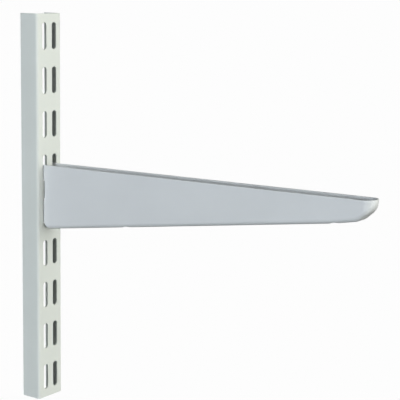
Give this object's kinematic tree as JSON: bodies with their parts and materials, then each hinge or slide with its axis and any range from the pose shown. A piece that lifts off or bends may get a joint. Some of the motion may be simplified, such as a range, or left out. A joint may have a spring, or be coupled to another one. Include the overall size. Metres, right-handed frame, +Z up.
{
  "type": "slotted shelf bracket",
  "caption": "Folded steel shelf arm, deep at the wall and shallow at its rounded nose, hooked into a length of slotted wall channel.",
  "frame": {"origin": "on the wall plane and the centre plane, level with the arm's top edge where it meets the upright", "axes": "+X out from the wall along the arm, +Y across, +Z up along the upright"},
  "size_m": [0.286, 0.026, 0.288],
  "materials": {
    "upright_powder_coat": "pale grey powder coat, satin",
    "arm_powder_coat": "light cool grey powder coat, satin"
  },
  "bodies": {
    "root": {"slotted_upright": "upright_powder_coat", "bracket_arm": "arm_powder_coat"}
  },
  "joints": []
}
